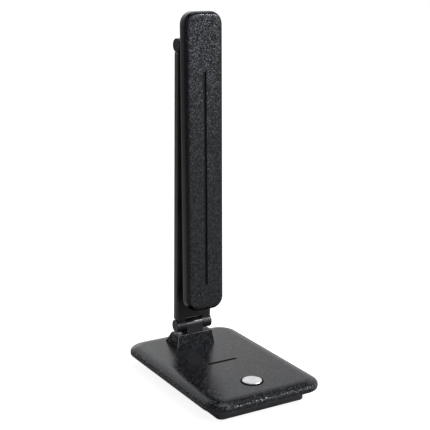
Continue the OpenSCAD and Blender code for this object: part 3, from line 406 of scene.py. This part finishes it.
# ---------------------------------------------------------------- softened edges

PEDESTAL_ROUNDING = 0.0006
ROUNDED_ABOVE = radians(30)
SAME_CORNER = 0.00001           # corners that are this close are one


def soften(name, width):
    """Rounds a node's sharp edges a little, so that they catch the light. The node's own mesh stays as it is.
    The weld comes first because the faces in model.glb don't share their corners, and a bevel needs them to."""
    modifiers = nodes[name].modifiers
    joined = modifiers.new("joined_corners", "WELD")
    joined.merge_threshold = SAME_CORNER
    edges = modifiers.new("soft_edges", "BEVEL")
    edges.width = width
    edges.segments = 2
    edges.limit_method = "ANGLE"
    edges.angle_limit = ROUNDED_ABOVE
    flats = modifiers.new("flat_sides", "WEIGHTED_NORMAL")
    flats.weight = 100


soften("pedestal_cover", PEDESTAL_ROUNDING)


# ---------------------------------------------------------------- stage

WHITE = (1, 1, 1, 1)
FLOOR_REACH = 6                 # from the middle of the floor to its edges
FLOOR_PATCHES = 3
FLOOR_DARK = grey(0.45)
FLOOR_LIGHT = grey(0.47)
FLOOR_TO_CAMERA = 0.87          # with the light on the floor it reaches white, and leaves the shadow
FLOOR_TO_MIRRORS = 0.06
ROOM_LIGHT = 0.45


def shown_in_mirrors(graph, path):
    """1 for what shiny and clear surfaces see, 0 for the rest."""
    return graph.math("MAXIMUM", path.outputs["Is Glossy Ray"], path.outputs["Is Transmission Ray"])


def floor_material():
    """A pale floor that the camera sees as white, with the object's soft shadow left in it."""
    look = Look("floor_white", Roughness=1.0, Specular_IOR_Level=0.0, Emission_Color=WHITE)
    path = look.add("ShaderNodeLightPath")
    to_camera = look.math("MULTIPLY", path.outputs["Is Camera Ray"], FLOOR_TO_CAMERA)
    to_mirrors = look.math("MULTIPLY", shown_in_mirrors(look, path), FLOOR_TO_MIRRORS)
    look.feed(look.surface.inputs["Emission Strength"], look.math("ADD", to_camera, to_mirrors))
    patches = look.noise(FLOOR_PATCHES, detail=2, rough=0.5)
    return look.finish(look.ramp(patches, FLOOR_DARK, FLOOR_LIGHT))


def make_floor():
    mesh = bpy.data.meshes.new("floor")
    form = bmesh.new()
    bmesh.ops.create_grid(form, x_segments=2, y_segments=2, size=FLOOR_REACH)
    form.to_mesh(mesh)
    form.free()
    mesh.materials.append(floor_material())
    floor = bpy.data.objects.new("floor", mesh)
    scene.collection.objects.link(floor)


def studio_world():
    """White all round to the camera, and an even light on the object. In reflections the room is brightest
    a little to the right of the middle, and dimmer to the left, on the far right and overhead."""
    world = bpy.data.worlds.new("studio")
    world.use_nodes = True
    world.node_tree.nodes.clear()
    graph = Graph(world.node_tree)
    path = graph.add("ShaderNodeLightPath")
    direction = graph.axes(graph.add("ShaderNodeTexCoord").outputs["Generated"])
    from_left = graph.squeeze(direction["X"], (-0.6, 0.25), (0.3, 1.0), soft=True)
    to_right = graph.squeeze(direction["X"], (0.30, 0.55), (1.5, 0.90), soft=True)
    upward = graph.squeeze(direction["Z"], (0.6, 0.85), (1.0, 0.1), soft=True)
    room = graph.math("MULTIPLY", graph.math("MULTIPLY", from_left, upward), to_right)
    light, mirrored, white = [
        graph.add("ShaderNodeBackground", {"Color": WHITE, "Strength": strength}).outputs[0]
        for strength in (ROOM_LIGHT, room, 1.0)
    ]
    shiny = shown_in_mirrors(graph, path)
    lit = graph.add("ShaderNodeMixShader", {0: shiny, 1: light, 2: mirrored}).outputs[0]
    shown = graph.add("ShaderNodeMixShader", {0: path.outputs["Is Camera Ray"], 1: lit, 2: white}).outputs[0]
    graph.add("ShaderNodeOutputWorld", {"Surface": shown})
    return world


def lamp(name, place, aim, size, watts):
    """A rectangular soft light, turned to shine from place towards aim."""
    data = bpy.data.lights.new(name, "AREA")
    data.energy = watts
    data.shape = "RECTANGLE"
    data.size, data.size_y = size
    light = bpy.data.objects.new(name, data)
    light.location = place
    light.rotation_euler = (Vector(aim) - Vector(place)).to_track_quat("-Z", "Y").to_euler()
    scene.collection.objects.link(light)


make_floor()
scene.world = studio_world()
lamp("softbox", place=(0.72, -1.25, 0.78), aim=(0, 0, 0.2), size=(0.7, 0.95), watts=10)
lamp("strip", place=(0.68, -0.62, 0.86), aim=(0, 0, 0.2), size=(0.22, 0.10), watts=8)
lamp("top", place=(0.3, 0.2, 1.6), aim=(0, 0, 0.1), size=(0.8, 0.8), watts=6)


# ---------------------------------------------------------------- camera
# Fitted to the straight edges of the base, the arm and the head in the photograph.

CAMERA_PLACE = (-0.4678, -0.7877, 0.3976)
CAMERA_LENS = 83.83
FILM_WIDTH = 36
LOOKS_DOWN = 14.013             # degrees below level
LOOKS_RIGHT = 30.375            # degrees from straight ahead, which is +Y

camera_data = bpy.data.cameras.new("camera")
camera_data.lens = CAMERA_LENS
camera_data.sensor_width = FILM_WIDTH
camera_data.clip_start = 0.01
camera = bpy.data.objects.new("camera", camera_data)
camera.location = CAMERA_PLACE
camera.rotation_euler = (radians(90 - LOOKS_DOWN), 0, radians(-LOOKS_RIGHT))
scene.collection.objects.link(camera)
scene.camera = camera

scene.view_settings.view_transform = "Standard"
